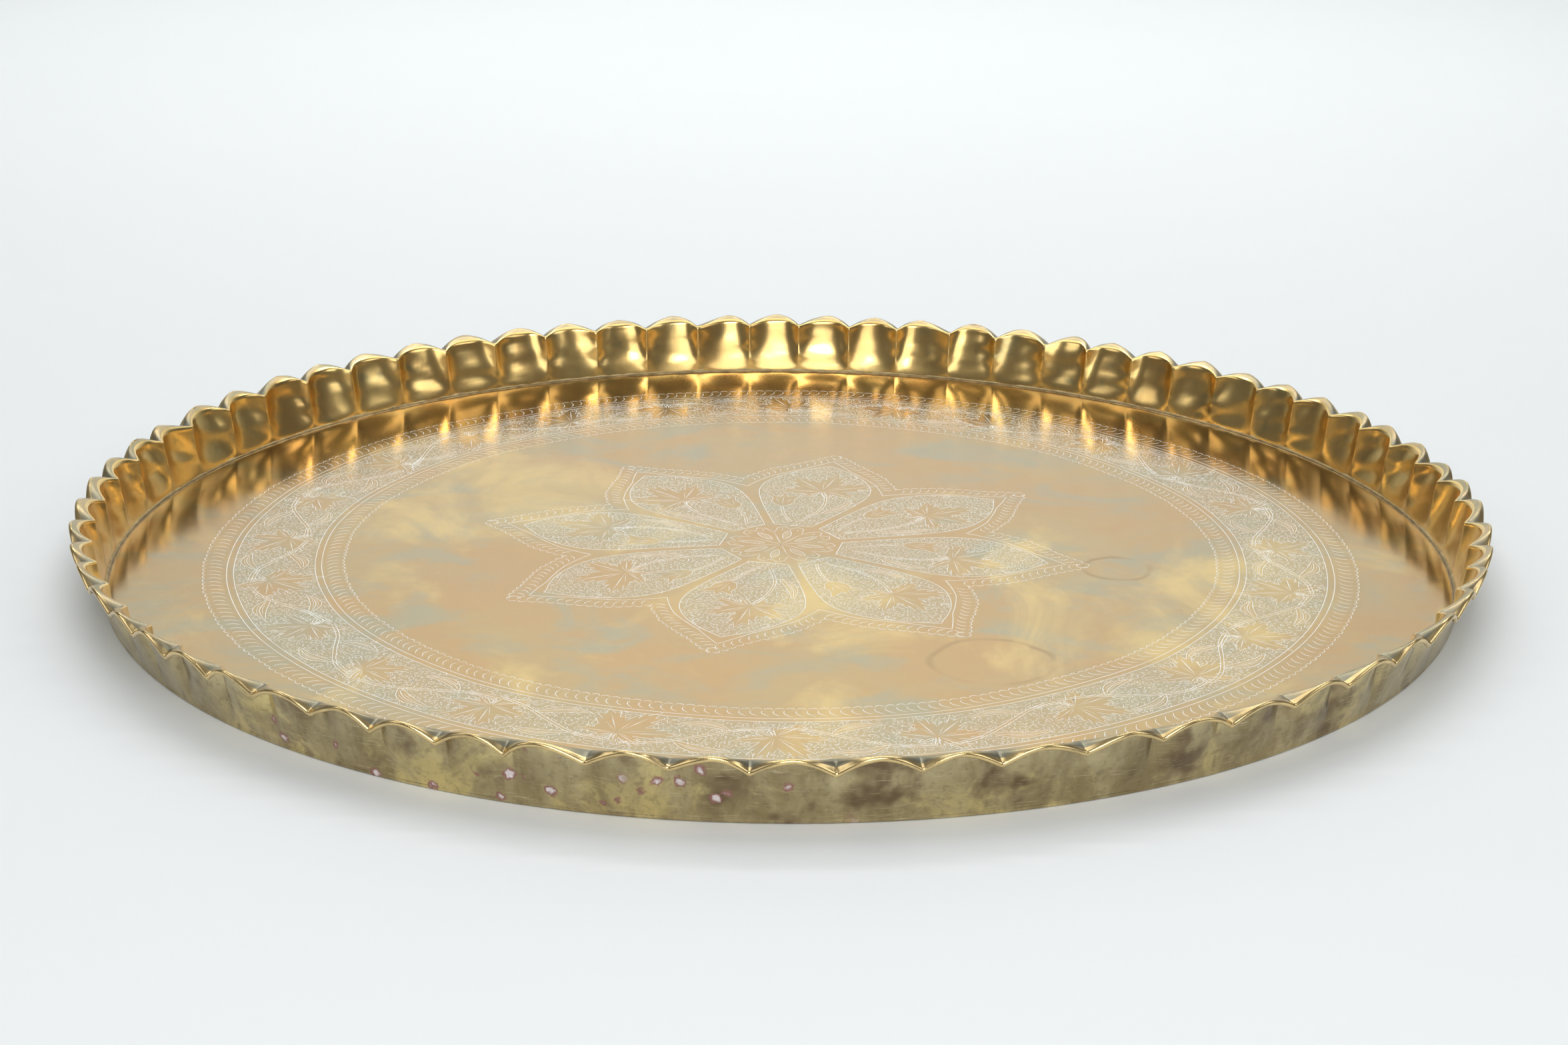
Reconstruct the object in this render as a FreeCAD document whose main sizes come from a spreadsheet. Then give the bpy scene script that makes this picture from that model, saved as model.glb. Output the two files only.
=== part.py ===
"""Large round serving tray of sheet brass with a fluted gallery.

Millimetres, +Z up. The origin is the centre of the underside, where the tray
stands. Each separate piece of metal is one sub-part:

  floor_plate      engraved disc with a low turned-up lip
  fluted_gallery   strip bent into flutes, flanged outwards and rolled at its edge
  foot_solder      soft-solder fillet that joins the gallery to the lip
  rim_wire         wire that the gallery's edge is rolled around
"""
import FreeCAD, Part
import math
import os

Vector = FreeCAD.Vector
Z_AXIS = Vector(0, 0, 1)

doc = FreeCAD.newDocument("brass_tray")

# ---------------------------------------------------------------- dimensions

DIMENSIONS = [
    ("flute_count", 66, "flutes round the gallery"),
    ("foot_radius", 359.0, "gallery's inner radius at its foot"),
    ("floor_gauge", 1.0, "thickness of the floor sheet"),
    ("gallery_gauge", 0.8, "thickness of the gallery sheet"),
    ("lip_height", 3.2, "top of the floor's turned-up lip"),
    ("lip_bend", 1.4, "inner radius of the bend at the lip"),
    ("solder_rise", 0.8, "height of the solder fillet above the lip"),
    ("solder_foot", 0.9, "width of the solder fillet on the lip"),
    ("ridge_radius", 363.0, "tip of the inner ridge between two flutes"),
    ("ridge_height", 30.6, "height of a ridge's tip"),
    ("flute_radius", 369.0, "hollow of a flute at the top of the wall"),
    ("flute_height", 33.2, "top of the wall in the middle of a flute"),
    ("crest_radius", 375.0, "outermost edge in the middle of a flute"),
    ("crest_height", 37.5, "highest point of the flange"),
    ("notch_radius", 373.2, "outermost edge at the notch over a ridge"),
    ("notch_height", 29.8, "top of the rolled edge at a notch"),
    ("wire_diameter", 1.0, "rim wire"),
]

sheet = doc.addObject("Spreadsheet::Sheet", "dimensions")
for row, (alias, value, meaning) in enumerate(DIMENSIONS, start=1):
    sheet.set(f"A{row}", meaning)
    sheet.set(f"B{row}", str(value))
    sheet.setAlias(f"B{row}", alias)
doc.recompute()


def size(alias):
    """Value of a driving dimension."""
    return float(sheet.get(alias))


FLUTES = int(size("flute_count"))
FLUTE_ANGLE = 2 * math.pi / FLUTES
SECTIONS = 7          # sections that one flute is lofted through
WALL_POWER = 2.6      # plan shape of a flute: a higher power has a flatter middle
WALL_BULGE = 2.6      # side shape of a flute: a higher power is hollower at the foot
WALL_LEVELS = (0.14, 0.32, 0.55, 0.8, 1.0)    # stations between the wall's foot and top
EDGE_POWER = 1.6      # rise of the rolled edge from notch to crest
EDGE_DROP = 0.6       # top of the rolled edge below the flange's highest point
ROLL_START = 75       # degrees above the horizontal where the sheet meets the wire
ROLL_END = -165       # degrees where the rolled sheet stops
WIRE_ARCS = 16        # arcs in the wire's round section
SEW_TOLERANCE = 0.01

# The flange bends away from the wall over these widths and heights
TIP_WIDTH = 1.6       # over a ridge: from the wall to the top of its tip
TIP_RISE = 0.5
SLOPE_WIDTH = 5.0     # over a ridge: from the wall to the slope outside its tip
SLOPE_RISE = 0.2
SHOULDER_WIDTH = 1.3  # in a flute: from the wall to its rounded shoulder
SHOULDER_DROP = 1.4
CROWN_WIDTH = 3.0     # in a flute: from the wall to the flange's highest point


# ---------------------------------------------------------- turned sub-parts

def cylinder(name, radius, height, bottom):
    """A cylinder on the Z axis, its sizes bound to the dimensions."""
    body = doc.addObject("Part::Cylinder", name)
    body.setExpression("Radius", radius)
    body.setExpression("Height", height)
    body.setExpression("Placement.Base.z", bottom)
    return body


def rounded_foot(name, base, radius):
    """The cylinder base with its lower edge rounded."""
    doc.recompute()
    lowest = base.Shape.BoundBox.ZMin
    edges = [number for number, edge in enumerate(base.Shape.Edges, start=1)
             if edge.BoundBox.ZMax < lowest + 1e-6]
    fillet = doc.addObject("Part::Fillet", name)
    fillet.Base = base
    fillet.Edges = [(number, radius, radius) for number in edges]
    return fillet


def cut(label, base, tool):
    """The sub-part that is base less tool."""
    result = doc.addObject("Part::Cut", label)
    result.Base = base
    result.Tool = tool
    result.Label = label
    return result


def make_floor_plate():
    """A shallow pan: a flat disc whose edge turns up into a low lip."""
    pan = cylinder("pan_outside", "dimensions.foot_radius", "dimensions.lip_height", "0")
    pan_round = rounded_foot("pan_outside_bend", pan, size("lip_bend") + size("floor_gauge"))
    hollow = cylinder("pan_inside", "dimensions.foot_radius - dimensions.floor_gauge",
                      "dimensions.lip_height", "dimensions.floor_gauge")
    hollow_round = rounded_foot("pan_inside_bend", hollow, size("lip_bend"))
    return cut("floor_plate", pan_round, hollow_round)


def make_foot_solder():
    """A three-cornered ring of solder on top of the lip, against the gallery."""
    block = cylinder("solder_block", "dimensions.foot_radius", "dimensions.solder_rise",
                     "dimensions.lip_height")
    cone = doc.addObject("Part::Cone", "solder_slope")
    cone.setExpression("Radius1", "dimensions.foot_radius - dimensions.solder_foot")
    cone.setExpression("Radius2", "dimensions.foot_radius")
    cone.setExpression("Height", "dimensions.solder_rise")
    cone.setExpression("Placement.Base.z", "dimensions.lip_height")
    return cut("foot_solder", block, cone)


# ------------------------------------------------------------ fluted section
#
# Across one flute, place runs from -1 at one ridge through 0 at the middle to
# 1 at the next ridge. Every point of the bent sheet's section moves between
# its position at a ridge and its position in the middle of the flute.

GAUGE = size("gallery_gauge")
WIRE_RADIUS = size("wire_diameter") / 2
EDGE_RADIUS = WIRE_RADIUS + GAUGE         # outside of the rolled edge


def blend(ridge, middle, place, power):
    """A (radius, height) between its ridge and mid-flute positions."""
    share = 1 - abs(place) ** power
    return (ridge[0] + (middle[0] - ridge[0]) * share,
            ridge[1] + (middle[1] - ridge[1]) * share)


def wall_points(place):
    """Middle of the sheet from the foot to the top of the wall."""
    foot = size("foot_radius") + GAUGE / 2
    ridge = (size("ridge_radius") + GAUGE / 2, size("ridge_height"))
    flute = (size("flute_radius") + GAUGE / 2, size("flute_height"))
    start = size("lip_height") + size("solder_rise")
    points = [(foot, 0.0), (foot, start / 2), (foot, start)]
    for level in WALL_LEVELS:
        on_ridge = (foot + (ridge[0] - foot) * level, start + (ridge[1] - start) * level)
        bulge = 1 - (1 - level) ** WALL_BULGE
        in_flute = (foot + (flute[0] - foot) * bulge, start + (flute[1] - start) * level)
        points.append(blend(on_ridge, in_flute, place, WALL_POWER))
    return points


def wire_centre(place):
    """Where the rim wire's middle lies."""
    notch = (size("notch_radius") - EDGE_RADIUS, size("notch_height") - EDGE_RADIUS)
    crest = (size("crest_radius") - EDGE_RADIUS, size("crest_height") - EDGE_DROP - EDGE_RADIUS)
    return blend(notch, crest, place, EDGE_POWER)


def flange_points(place):
    """Middle of the sheet from the wall's top to the rolled edge."""
    ridge_tip = (size("ridge_radius") + TIP_WIDTH, size("ridge_height") + TIP_RISE)
    shoulder = (size("flute_radius") + SHOULDER_WIDTH, size("crest_height") - SHOULDER_DROP)
    ridge_slope = (size("ridge_radius") + SLOPE_WIDTH, size("ridge_height") + SLOPE_RISE)
    crown = (size("flute_radius") + CROWN_WIDTH, size("crest_height") - GAUGE / 2)
    return [blend(ridge_tip, shoulder, place, WALL_POWER),
            blend(ridge_slope, crown, place, (WALL_POWER + EDGE_POWER) / 2)]


def round_wire(place, radius, degrees):
    """A point at radius from the wire's middle, degrees above the horizontal."""
    centre_r, centre_z = wire_centre(place)
    angle = math.radians(degrees)
    return (centre_r + radius * math.cos(angle), centre_z + radius * math.sin(angle))


def sheet_sides(place):
    """Both sides of the sheet, from the foot to where it meets the roll."""
    middle = wall_points(place) + flange_points(place)
    middle.append(round_wire(place, (WIRE_RADIUS + EDGE_RADIUS) / 2, ROLL_START))
    upper, lower = [], []
    for number, point in enumerate(middle[:-1]):
        before = middle[max(number - 1, 0)]
        after = middle[number + 1]
        run = (after[0] - before[0], after[1] - before[1])
        half = GAUGE / 2 / math.hypot(*run)
        upper.append((point[0] - run[1] * half, point[1] + run[0] * half))
        lower.append((point[0] + run[1] * half, point[1] - run[0] * half))
    upper.append(round_wire(place, EDGE_RADIUS, ROLL_START))
    lower.append(round_wire(place, WIRE_RADIUS, ROLL_START))
    return upper, lower


def shares_of_length(points):
    """How far along the line through points each of them is, from 0 to 1."""
    along = [0.0]
    for before, after in zip(points, points[1:]):
        along.append(along[-1] + math.dist(before, after))
    return [value / along[-1] for value in along]


SHARES = shares_of_length(sheet_sides(0)[0])


def in_plane(point, place):
    """A (radius, height) of the section at place, in space."""
    angle = place * FLUTE_ANGLE / 2
    return Vector(point[0] * math.cos(angle), point[0] * math.sin(angle), point[1])


def spline(points, place):
    """A smooth edge through points, which all sections divide alike."""
    curve = Part.BSplineCurve()
    curve.interpolate(Points=[in_plane(point, place) for point in points], Parameters=SHARES)
    return curve.toShape()


def roll(place, radius):
    """The round edge of the roll at radius from the wire's middle."""
    middle = (ROLL_START + ROLL_END) / 2
    points = [in_plane(round_wire(place, radius, degrees), place)
              for degrees in (ROLL_START, middle, ROLL_END)]
    return Part.Arc(*points).toShape()


def sheet_section(place):
    """Closed outline of the bent sheet in the radial plane at place."""
    upper, lower = sheet_sides(place)
    end = [in_plane(round_wire(place, radius, ROLL_END), place)
           for radius in (EDGE_RADIUS, WIRE_RADIUS)]
    return Part.Wire([
        spline(upper, place),
        roll(place, EDGE_RADIUS),
        Part.makeLine(*end),
        roll(place, WIRE_RADIUS),
        spline(lower, place),
        Part.makeLine(in_plane(lower[0], place), in_plane(upper[0], place)),
    ])


def wire_section(place):
    """The rim wire's round section in the radial plane at place."""
    angle = place * FLUTE_ANGLE / 2
    across = Vector(-math.sin(angle), math.cos(angle), 0)
    circle = Part.Circle(in_plane(wire_centre(place), place), across, WIRE_RADIUS)
    step = 2 * math.pi / WIRE_ARCS
    return Part.Wire([circle.toShape(number * step, (number + 1) * step)
                      for number in range(WIRE_ARCS)])


def repeated_round(section, inner_point):
    """One closed solid: a flute lofted through its sections, all the way round.

    inner_point is a (radius, height) inside the metal in the middle of a flute.
    """
    places = [-1 + 2 * number / (SECTIONS - 1) for number in range(SECTIONS)]
    flute = Part.makeLoft([section(place) for place in places], True)
    skins = [face for face in flute.Faces if not is_end(face)]
    faces = []
    for number in range(FLUTES):
        for skin in skins:
            faces.append(skin.rotated(Vector(0, 0, 0), Z_AXIS, number * 360 / FLUTES))
    shell = Part.makeShell(faces)
    shell.sewShape(SEW_TOLERANCE)
    solid = Part.makeSolid(shell)
    if not solid.isInside(in_plane(inner_point, 0), SEW_TOLERANCE, False):
        solid.reverse()
    return solid


def is_end(face):
    """Whether face is one of the flat ends where a flute meets the next."""
    centre = face.CenterOfMass
    radial = Vector(centre.x, centre.y, 0)
    turn = abs(math.atan2(centre.y, centre.x))
    return radial.Length > 0 and abs(turn - FLUTE_ANGLE / 2) < FLUTE_ANGLE / 100


def feature(label, shape):
    """A sub-part whose shape is made here from the dimensions."""
    body = doc.addObject("Part::Feature", label)
    body.Shape = shape
    body.Placement = FreeCAD.Placement()
    body.Label = label
    return body


# ------------------------------------------------------------------ the tray

SUB_PARTS = [
    make_floor_plate(),
    feature("fluted_gallery", repeated_round(sheet_section, wall_points(0)[-1])),
    make_foot_solder(),
    feature("rim_wire", repeated_round(wire_section, wire_centre(0))),
]
doc.recompute()

for item in doc.Objects:
    if "Invalid" in item.State or "Error" in item.State:
        raise RuntimeError(f"{item.Label} failed: {item.State}")

os.makedirs("parts", exist_ok=True)
for item in SUB_PARTS:
    shape = item.Shape
    if shape.isNull() or not shape.isValid() or len(shape.Solids) != 1:
        raise RuntimeError(f"{item.Label} isn't one valid solid")
    shape.exportStep(f"parts/{item.Label}.step")
    box = shape.BoundBox
    print(f"{item.Label}: {shape.Volume / 1000:.1f} cm3, radius {box.XMax:.2f}, "
          f"z {box.ZMin:.2f} to {box.ZMax:.2f}, faces {len(shape.Faces)}")
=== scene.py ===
"""Looks of the large round brass tray: fluted gallery, engraved floor, patina, studio."""
import bpy
import math
import numpy as np
from mathutils import Matrix, Vector


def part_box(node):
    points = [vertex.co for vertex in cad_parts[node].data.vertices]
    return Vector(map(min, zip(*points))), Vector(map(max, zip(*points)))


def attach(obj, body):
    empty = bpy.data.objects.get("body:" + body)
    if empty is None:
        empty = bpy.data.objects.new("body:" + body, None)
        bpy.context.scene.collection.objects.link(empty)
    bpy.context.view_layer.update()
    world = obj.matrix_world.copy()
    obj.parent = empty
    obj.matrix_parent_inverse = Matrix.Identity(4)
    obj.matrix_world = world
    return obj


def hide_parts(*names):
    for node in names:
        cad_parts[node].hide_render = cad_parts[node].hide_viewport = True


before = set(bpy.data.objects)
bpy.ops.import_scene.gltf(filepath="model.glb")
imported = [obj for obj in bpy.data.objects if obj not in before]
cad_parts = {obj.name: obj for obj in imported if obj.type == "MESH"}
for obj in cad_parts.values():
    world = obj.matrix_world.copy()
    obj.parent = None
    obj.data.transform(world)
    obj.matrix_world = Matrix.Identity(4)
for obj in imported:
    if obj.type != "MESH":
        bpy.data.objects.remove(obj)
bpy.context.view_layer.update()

MM = 0.001

# ------------------------------------------------------------------ measures

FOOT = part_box("floor_plate")[1].x            # inner radius of the gallery at its foot
LIP_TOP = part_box("floor_plate")[1].z
SOLDER_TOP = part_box("foot_solder")[1].z
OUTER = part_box("fluted_gallery")[1].x        # outermost edge, in the middle of a flute
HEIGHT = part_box("fluted_gallery")[1].z

FLUTES = 66
FLUTE_ANGLE = 2 * math.pi / FLUTES
FLOOR_GAUGE = 1.0 * MM
GAUGE = 0.8 * MM
LIP_BEND = 0.9 * MM
SEEN_LIP = LIP_TOP - 1.3 * MM                # the lip as far as the solder leaves it bare
FLUTE_FOOT = SEEN_LIP + 0.8 * MM             # height at which the flutes begin
WIRE_RADIUS = 0.5 * MM
EDGE_RADIUS = WIRE_RADIUS + GAUGE
RIDGE = (FOOT + 4.0 * MM, HEIGHT - 6.9 * MM)         # tip of a ridge between flutes
HOLLOW = (FOOT + 10.0 * MM, HEIGHT - 4.3 * MM)       # top of the wall in a flute
CREST = (OUTER - EDGE_RADIUS, HEIGHT - 1.9 * MM)     # wire in the middle of a flute
NOTCH = (OUTER - 1.8 * MM - EDGE_RADIUS, HEIGHT - 9.0 * MM)
TURN = math.radians(0.34)                            # camera's turn round the tray


# ------------------------------------------------------------- mesh building

def new_piece(name, verts, faces, material, smooth=True, normals=None):
    """A mesh object from arrays, riding on the tray's body."""
    mesh = bpy.data.meshes.new(name)
    verts = np.asarray(verts, float)
    faces = np.asarray(faces, np.int32)
    corners = faces.shape[1]
    mesh.vertices.add(len(verts))
    mesh.vertices.foreach_set("co", verts.ravel())
    mesh.loops.add(faces.size)
    mesh.loops.foreach_set("vertex_index", faces.ravel())
    mesh.polygons.add(len(faces))
    mesh.polygons.foreach_set("loop_start", np.arange(0, faces.size, corners, dtype=np.int32))
    mesh.update(calc_edges=True)
    mesh.polygons.foreach_set("use_smooth", np.full(len(faces), smooth))
    if normals is not None:
        mesh.normals_split_custom_set_from_vertices(normals)
    mesh.validate()
    mesh.materials.append(material)
    piece = bpy.data.objects.new(name, mesh)
    bpy.context.scene.collection.objects.link(piece)
    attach(piece, "root")
    return piece


def grid_faces(rows, columns, wrap_rows=False, wrap_columns=True):
    """Quads of a grid whose vertices run row by row."""
    row_ids = np.arange(rows if wrap_rows else rows - 1)
    column_ids = np.arange(columns if wrap_columns else columns - 1)
    r, c = np.meshgrid(row_ids, column_ids, indexing="ij")
    r2, c2 = (r + 1) % rows, (c + 1) % columns
    quads = np.stack([r * columns + c, r * columns + c2, r2 * columns + c2, r2 * columns + c], -1)
    return quads.reshape(-1, 4)


def smooth_through(points, parts):
    """Catmull-Rom line through points along axis 0, each run in so many parts."""
    ends = np.concatenate([2 * points[:1] - points[1:2], points, 2 * points[-1:] - points[-2:-1]])
    rows = []
    for k in range(len(points) - 1):
        a, b, c, d = ends[k], ends[k + 1], ends[k + 2], ends[k + 3]
        for t in np.arange(parts) / parts:
            rows.append(0.5 * (2 * b + (c - a) * t + (2 * a - 5 * b + 4 * c - d) * t ** 2
                               + (3 * b - a - 3 * c + d) * t ** 3))
    rows.append(points[-1])
    return np.array(rows)


def round_axis(loop, angle):
    """(radius, height) points of each column brought to its angle round the Z axis."""
    x, y = loop[..., 0] * np.cos(angle), loop[..., 0] * np.sin(angle)
    return np.stack([x, y, loop[..., 1]], -1).reshape(-1, 3)


def sum_of_waves(x, y, size, count, seed):
    """Gentle random waves of about unit height and the given wavelength."""
    waves = np.random.default_rng(seed)
    total = np.zeros(np.broadcast(x, y).shape)
    for _ in range(count):
        angle = waves.uniform(0, 2 * math.pi)
        length = size * waves.uniform(0.7, 1.6)
        phase = waves.uniform(0, 2 * math.pi)
        total += np.sin((x * math.cos(angle) + y * math.sin(angle)) * 2 * math.pi / length + phase)
    return total / math.sqrt(count / 2)


# -------------------------------------------------------------- fluted gallery

class Flutes:
    """Each flute's own small differences, as hand work leaves them."""

    def __init__(self):
        draw = np.random.default_rng(12)
        round_tray = (np.arange(FLUTES) - 0.5) * FLUTE_ANGLE
        # the drift is fitted to the ridges in the photograph; without it they stand as in the CAD
        drift = 0.274 * np.cos(2 * round_tray) + 0.099 * np.sin(2 * round_tray)
        self.ridge_shift = drift + draw.normal(0, 0.03, FLUTES)  # of a flute's width
        self.ridge_depth = draw.normal(0, 0.35 * MM, FLUTES)
        self.ridge_lift = draw.normal(0, 0.30 * MM, FLUTES)
        self.notch_lift = draw.normal(0, 0.35 * MM, FLUTES)
        self.notch_reach = -np.abs(draw.normal(0, 0.3 * MM, FLUTES))
        self.hollow_depth = draw.normal(0, 0.45 * MM, FLUTES)
        self.crest_drop = np.abs(draw.normal(0, 0.45 * MM, FLUTES))
        self.crest_draw_in = np.abs(draw.normal(0, 0.25 * MM, FLUTES))
        self.skew = draw.normal(0, 0.10, FLUTES)
        self.flatness = draw.normal(2.7, 0.35, FLUTES).clip(2.0, 3.6)
        self.peak = draw.normal(1.75, 0.16, FLUTES).clip(1.45, 2.2)
        self.bulge = draw.normal(1.14, 0.08, FLUTES).clip(1.0, 1.3)

    def phase(self, angle):
        """How many flutes on from the first ridge, a whole number at each ridge."""
        ridges = (np.arange(FLUTES) - 0.5 + self.ridge_shift) * FLUTE_ANGLE
        ridges = np.append(ridges, ridges[0] + 2 * math.pi)
        return np.interp((angle - ridges[0]) % (2 * math.pi) + ridges[0], ridges,
                         np.arange(FLUTES + 1))


flutes = Flutes()
RIDGE_ROUND = 0.05                           # of half a flute's width
FLANGE_ROUND = 0.04
# (out, up) in mm from a ridge's tip and from the top of a hollow, three stations of the flange
FLANGE = (((0.6, 0.45), (1.0, 1.0)), ((1.9, 0.55), (2.4, 2.0)), ((4.6, 0.15), (3.7, 2.8)))
LEVELS = (0.05, 0.16, 0.32, 0.50, 0.70, 0.90, 1.0)   # up the wall, from the flutes' foot
ROLL_JOIN = 75                               # degrees round the wire at which the flange meets it
# columns of half a flute, from its ridge (0) towards its middle (1)
HALF_PLACES = np.array([0, 0.02, 0.05, 0.10, 0.17, 0.26, 0.38, 0.52, 0.68, 0.84])


def flute_columns():
    """Angle, flute number and place (-1 to 1 between ridges) of each column."""
    left = -1 + HALF_PLACES
    places = np.concatenate([left, [0.0], -left[:0:-1]])
    number = np.repeat(np.arange(FLUTES), len(places))
    place = np.tile(places, FLUTES)
    start = number - 0.5 + flutes.ridge_shift[number]
    end = number + 0.5 + flutes.ridge_shift[(number + 1) % FLUTES]
    angle = (start + (end - start) * (place + 1) / 2) * FLUTE_ANGLE
    return angle, number, place


def between_ridges(values, number, place):
    """A ridge value, passing smoothly from one ridge to the next."""
    t = (place + 1) / 2
    t = t * t * (3 - 2 * t)
    return values[number] * (1 - t) + values[(number + 1) % FLUTES] * t


def share(place, number, power, rounding):
    """0 at a ridge and 1 in the middle of a flute, with the ridge rounded over."""
    leaned = place + flutes.skew[number] * (1 - place ** 2)
    gap = 1 - np.abs(leaned)
    gap = (np.sqrt(gap ** 2 + rounding ** 2) - rounding) / (math.sqrt(1 + rounding ** 2) - rounding)
    return 1 - np.abs(1 - gap.clip(0, 1)) ** power


def gallery_middle(number, place):
    """Stations along the middle of the gallery's sheet, shape (stations, columns, 2)."""
    def ridge_value(values):
        return between_ridges(values, number, place)

    wall_share = share(place, number, flutes.flatness[number], RIDGE_ROUND)
    edge_share = share(place, number, flutes.peak[number], RIDGE_ROUND)
    between = (flutes.flatness[number] + flutes.peak[number]) / 2
    flange_share = share(place, number, between, FLANGE_ROUND)
    foot_r = FOOT + GAUGE / 2
    half = GAUGE / 2
    start = FLUTE_FOOT
    one = np.ones_like(place)
    stations = [(foot_r - 1.1 * MM, half + 0.01 * MM), (foot_r - 0.35 * MM, half + 0.09 * MM),
                (foot_r - 0.05 * MM, 0.95 * MM), (foot_r, 1.9 * MM), (foot_r, start * 0.8)]
    stations = [(r * one, z * one) for r, z in stations]
    ridge_r = RIDGE[0] + half + ridge_value(flutes.ridge_depth)
    ridge_z = RIDGE[1] + ridge_value(flutes.ridge_lift)
    hollow_r = HOLLOW[0] + half + flutes.hollow_depth[number]
    hollow_z = HOLLOW[1] - flutes.crest_drop[number]
    for level in LEVELS:
        on_ridge = foot_r + (ridge_r - foot_r) * level
        bulge = 1 - (1 - level) ** flutes.bulge[number]
        in_flute = foot_r + (hollow_r - foot_r) * bulge
        height = start + (ridge_z - start) * level
        high = start + (hollow_z - start) * level
        stations.append((on_ridge + (in_flute - on_ridge) * wall_share,
                         height + (high - height) * wall_share))
    for ridge, crown in FLANGE:
        r0, z0 = ridge_r + ridge[0] * MM, ridge_z + ridge[1] * MM
        r1, z1 = hollow_r + crown[0] * MM, hollow_z + crown[1] * MM
        stations.append((r0 + (r1 - r0) * flange_share, z0 + (z1 - z0) * flange_share))
    return np.array(stations).transpose(0, 2, 1), edge_share, ridge_value


def wire_line(number, edge_share, ridge_value):
    """Middle of the rim wire for each column."""
    notch_r = NOTCH[0] + ridge_value(flutes.notch_reach)
    notch_z = NOTCH[1] + ridge_value(flutes.notch_lift)
    crest_r = CREST[0] - flutes.crest_draw_in[number]
    crest_z = CREST[1] - flutes.crest_drop[number]
    return (notch_r + (crest_r - notch_r) * edge_share,
            notch_z + (crest_z - notch_z) * edge_share)


def round_wire(wire, radius, turns):
    """Points at a radius round the wire's middle, shape (turns, columns, 2)."""
    return np.array([np.stack([wire[0] + radius * math.cos(turn),
                               wire[1] + radius * math.sin(turn)], -1) for turn in turns])


def make_gallery(inner_material, outer_material, edge_material, flange_material):
    """The bent sheet, closed round its foot and the inside of the rolled edge."""
    angle, number, place = flute_columns()
    middle, edge_share, ridge_value = gallery_middle(number, place)
    wire = wire_line(number, edge_share, ridge_value)
    join = round_wire(wire, EDGE_RADIUS - GAUGE / 2, [math.radians(ROLL_JOIN)])
    middle = smooth_through(np.concatenate([middle, join]), 2)
    x, y = middle[..., 0] * np.cos(angle), middle[..., 0] * np.sin(angle)
    up = np.clip((middle[..., 1] - SOLDER_TOP) / (HEIGHT - SOLDER_TOP), 0, 1)
    waves = (sum_of_waves(x, middle[..., 1] * 3 + y, 45 * MM, 9, 5) * 0.22
             + sum_of_waves(x, middle[..., 1] * 2 + y, 15 * MM, 9, 6) * 0.07) * MM
    middle[..., 0] += waves * np.sin(up * math.pi) ** 0.7
    run = np.gradient(middle, axis=0)
    run /= np.linalg.norm(run, axis=-1, keepdims=True)
    normal = np.stack([-run[..., 1], run[..., 0]], -1)
    upper = middle + normal * GAUGE / 2
    crease = np.exp(-((1 - np.abs(place)) / 0.16) ** 2)
    fill = 0.55 * MM * crease * np.sin(up * math.pi / 1.15).clip(0, 1)
    lower = middle - normal * (GAUGE / 2 + fill[..., None])

    outside = round_wire(wire, EDGE_RADIUS, np.radians(range(ROLL_JOIN, -170, -30)))
    wire_side = round_wire(wire, WIRE_RADIUS * 1.04, np.radians(range(-165, 80, 80)))
    loop = np.concatenate([upper[:-1], outside, wire_side, lower[:-1][::-1]])
    rows, columns = loop.shape[:2]
    faces = grid_faces(rows, columns, wrap_rows=True)[:, ::-1]
    piece = new_piece("gallery", round_axis(loop, angle), faces, inner_material)
    for material in (outer_material, edge_material, flange_material):
        piece.data.materials.append(material)
    row = faces[:, 3] // columns
    slots = np.zeros(len(faces), np.int32)
    slots[row >= len(upper) - 6] = 3                       # flange
    slots[row >= len(upper) - 2] = 2                       # rolled edge
    slots[row >= len(upper) - 1 + len(outside)] = 1        # outside of the wall
    piece.data.polygons.foreach_set("material_index", slots)
    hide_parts("fluted_gallery")


def make_rim_wire(material):
    """The wire inside the rolled edge."""
    angle, number, place = flute_columns()
    _, edge_share, ridge_value = gallery_middle(number, place)
    wire = wire_line(number, edge_share, ridge_value)
    loop = round_wire(wire, WIRE_RADIUS, np.arange(8) * math.pi / 4)
    faces = grid_faces(8, loop.shape[1], wrap_rows=True)
    piece = new_piece("edge_wire", round_axis(loop, angle), faces, material)
    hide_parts("rim_wire")


# ----------------------------------------------------------------- floor plate

COVE_START = FOOT - FLOOR_GAUGE - LIP_BEND
TURNED_COLUMNS = 720


def floor_top(x, y):
    """Height of the floor's upper face: spun sheet is never quite flat."""
    r = np.hypot(x, y)
    fade = np.clip((COVE_START - r) / (40 * MM), 0, 1)
    fade = fade * fade * (3 - 2 * fade)
    sag = -0.25 * MM * (1 - (r / FOOT) ** 2)
    return FLOOR_GAUGE + sag + fade * (sum_of_waves(x, y, 130 * MM, 10, 3) * 0.20
                                       + sum_of_waves(x, y, 55 * MM, 10, 4) * 0.018) * MM


def floor_normals(x, y):
    """Normals of the floor's upper face, from its slope."""
    step = 0.2 * MM
    dx = (floor_top(x + step, y) - floor_top(x - step, y)) / (2 * step)
    dy = (floor_top(x, y + step) - floor_top(x, y - step)) / (2 * step)
    normals = np.stack([-dx, -dy, np.ones_like(dx)], -1)
    return normals / np.linalg.norm(normals, axis=-1, keepdims=True)


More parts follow.
